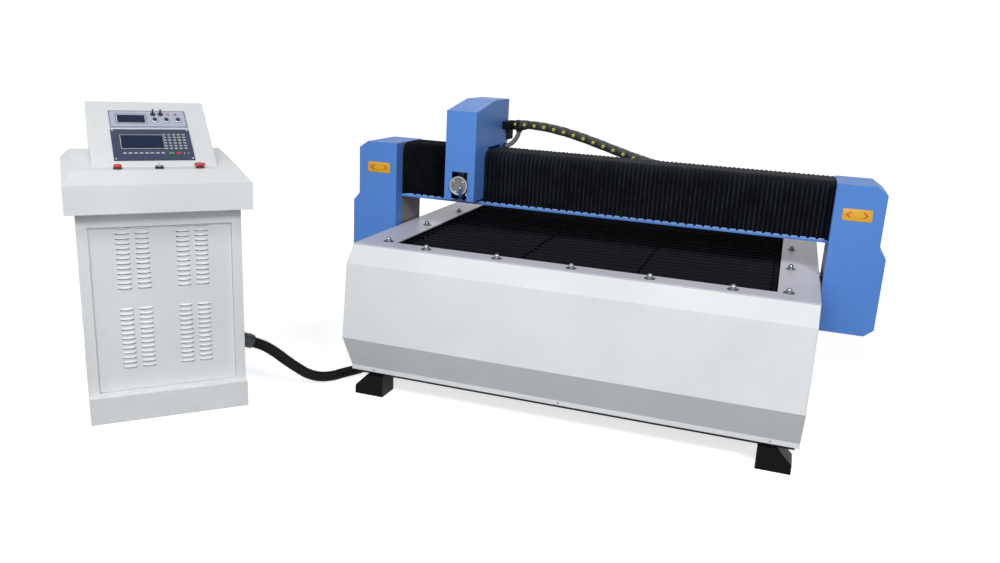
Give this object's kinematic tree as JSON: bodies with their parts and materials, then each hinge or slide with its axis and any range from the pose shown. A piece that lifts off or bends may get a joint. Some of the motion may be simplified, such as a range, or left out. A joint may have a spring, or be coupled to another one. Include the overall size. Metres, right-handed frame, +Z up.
{
  "type": "cnc plasma table",
  "caption": "Gantry plasma cutting table with a slat bed, folded side panels, pleated beam covers and a lifting torch head, joined by a conduit to a console with a sloping control face.",
  "frame": {"origin": "middle of the footprint of table and console, on the floor", "axes": "+X along the gantry to the right as the operator looks, +Y along the table away from the operator, +Z up"},
  "size_m": [3.3843, 4.143, 1.3229],
  "materials": {
    "white_paint": "satin",
    "blue_paint": "gloss",
    "frame_paint": "matte",
    "black_paint": "satin",
    "rim_paint": "satin",
    "plated": "polished",
    "slat_steel": "scaled",
    "steel": "ground",
    "alloy": "machined",
    "motor_black": "satin",
    "cloth": "coated",
    "black_plastic": "matte",
    "grey_plastic": "matte",
    "panel_dark": "satin",
    "panel_silver": "anodised",
    "glass": "smooth",
    "key_film": "satin",
    "green": "gloss",
    "red": "gloss",
    "torch_body": "satin"
  },
  "bodies": {
    "table": {"table_frame": "frame_paint", "feet": "black_paint", "front_panel": "white_paint", "rear_panel": "white_paint", "side_panels": "white_paint", "end_rims": "rim_paint", "side_rims": "rim_paint", "rim_nuts": "plated", "slag_tray": "slat_steel", "slats": "slat_steel", "side_rails": "steel", "side_racks": "steel", "conduit_glands": "black_plastic", "conduit_hose": "black_plastic", "console_plinth": "white_paint", "console_cabinet": "white_paint", "louvre_panel": "white_paint", "console_desk": "white_paint", "console_hood": "white_paint", "height_panel": "panel_silver", "controller_panel": "panel_dark", "screens": "glass", "keypad": "key_film", "status_lamps": "red", "switch_collars": "black_plastic", "electronics": "steel"},
    "gantry": {"gantry_side_plates": "steel", "column_covers": "blue_paint", "beam": "blue_paint", "beam_rails": "steel", "beam_rack": "steel", "gantry_bearings": "steel", "drive_motors": "motor_black", "bellows_left": "cloth", "bellows_right": "cloth", "cable_chain": "black_plastic", "chain_tray": "black_paint"},
    "gantry_pinions": {"gantry_pinions": "steel"},
    "carriage": {"carriage_plate": "alloy", "carriage_bearings": "steel", "carriage_motors": "motor_black", "head_cover": "blue_paint", "lift_frame": "alloy", "chain_bracket": "black_paint", "head_conduit": "grey_plastic"},
    "carriage_pinion": {"carriage_pinion": "steel"},
    "lift_screw": {"lift_screw": "steel"},
    "torch_lifter": {"torch_slide": "alloy", "torch_clamp": "alloy", "torch": "torch_body"},
    "start_key": {"start_key": "green"},
    "stop_key": {"stop_key": "red"},
    "arc_toggle": {"arc_toggle": "black_plastic"},
    "auto_toggle": {"auto_toggle": "black_plastic"},
    "voltage_knob": {"voltage_knob": "black_plastic"},
    "height_knob": {"height_knob": "black_plastic"},
    "delay_knob": {"delay_knob": "black_plastic"},
    "push_button": {"push_button": "red"},
    "selector_knob": {"selector_knob": "alloy"},
    "emergency_stop": {"emergency_stop": "red"}
  },
  "joints": [
    {"name": "gantry_travel", "type": "slide", "parent": "table", "child": "gantry", "axis": [0, 1, 0], "range_m": [-0.25, 2.25]},
    {"name": "gantry_pinion_spin", "type": "hinge", "parent": "gantry", "child": "gantry_pinions", "pos_m": [0.475, -0.64, 0.544], "axis": [1, 0, 0], "range_deg": [-520, 4640]},
    {"name": "carriage_travel", "type": "slide", "parent": "gantry", "child": "carriage", "axis": [1, 0, 0], "range_m": [0, 1.285], "deforming": ["bellows_left", "bellows_right", "cable_chain"]},
    {"name": "carriage_pinion_spin", "type": "hinge", "parent": "carriage", "child": "carriage_pinion", "pos_m": [-0.167, -0.584, 1.069], "axis": [0, 0, 1], "range_deg": [-20, 2660]},
    {"name": "torch_lift", "type": "slide", "parent": "carriage", "child": "torch_lifter", "axis": [0, 0, 1], "range_m": [-0.155, 0]},
    {"name": "lift_screw_spin", "type": "hinge", "parent": "carriage", "child": "lift_screw", "pos_m": [-0.167, -0.717, 1.05], "axis": [0, 0, 1], "range_deg": [-2820, 20]},
    {"name": "push_button_press", "type": "slide", "parent": "table", "child": "push_button", "axis": [0.0326, -0.0321, 0.999], "range_m": [-0.003, 0], "stiffness_N_per_m": 400, "springref_m": 0.005},
    {"name": "emergency_stop_press", "type": "slide", "parent": "table", "child": "emergency_stop", "axis": [0.0326, -0.0321, 0.999], "range_m": [-0.003, 0], "stiffness_N_per_m": 400, "springref_m": 0.005},
    {"name": "start_key_press", "type": "slide", "parent": "table", "child": "start_key", "axis": [0.3528, -0.3467, 0.8691], "range_m": [-0.0015, 0], "stiffness_N_per_m": 400, "springref_m": 0.005},
    {"name": "stop_key_press", "type": "slide", "parent": "table", "child": "stop_key", "axis": [0.3528, -0.3467, 0.8691], "range_m": [-0.0015, 0], "stiffness_N_per_m": 400, "springref_m": 0.005},
    {"name": "selector_turn", "type": "hinge", "parent": "table", "child": "selector_knob", "pos_m": [-1.10197, -1.73073, 1.03711], "axis": [0.0326, -0.0321, 0.999], "range_deg": [-45, 45]},
    {"name": "arc_toggle_flip", "type": "hinge", "parent": "table", "child": "arc_toggle", "pos_m": [-1.32884, -1.48816, 1.21385], "axis": [0.7009, 0.7133, 0], "range_deg": [0, 28]},
    {"name": "auto_toggle_flip", "type": "hinge", "parent": "table", "child": "auto_toggle", "pos_m": [-1.30781, -1.46676, 1.21385], "axis": [0.7009, 0.7133, 0], "range_deg": [0, 28]},
    {"name": "voltage_knob_turn", "type": "hinge", "parent": "table", "child": "voltage_knob", "pos_m": [-1.29814, -1.51272, 1.19159], "axis": [0.3528, -0.3467, 0.8691], "range_deg": [-140, 140]},
    {"name": "height_knob_turn", "type": "hinge", "parent": "table", "child": "height_knob", "pos_m": [-1.2659, -1.47991, 1.19159], "axis": [0.3528, -0.3467, 0.8691], "range_deg": [-140, 140]},
    {"name": "delay_knob_turn", "type": "hinge", "parent": "table", "child": "delay_knob", "pos_m": [-1.23366, -1.4471, 1.19159], "axis": [0.3528, -0.3467, 0.8691], "range_deg": [-140, 140]}
  ],
  "couplings": [
    {"joint": "gantry_pinion_spin", "follows": "gantry_travel", "rad_per_m": 35.714},
    {"joint": "carriage_pinion_spin", "follows": "carriage_travel", "rad_per_m": 35.714},
    {"joint": "lift_screw_spin", "follows": "torch_lift", "rad_per_m": 314.16}
  ]
}
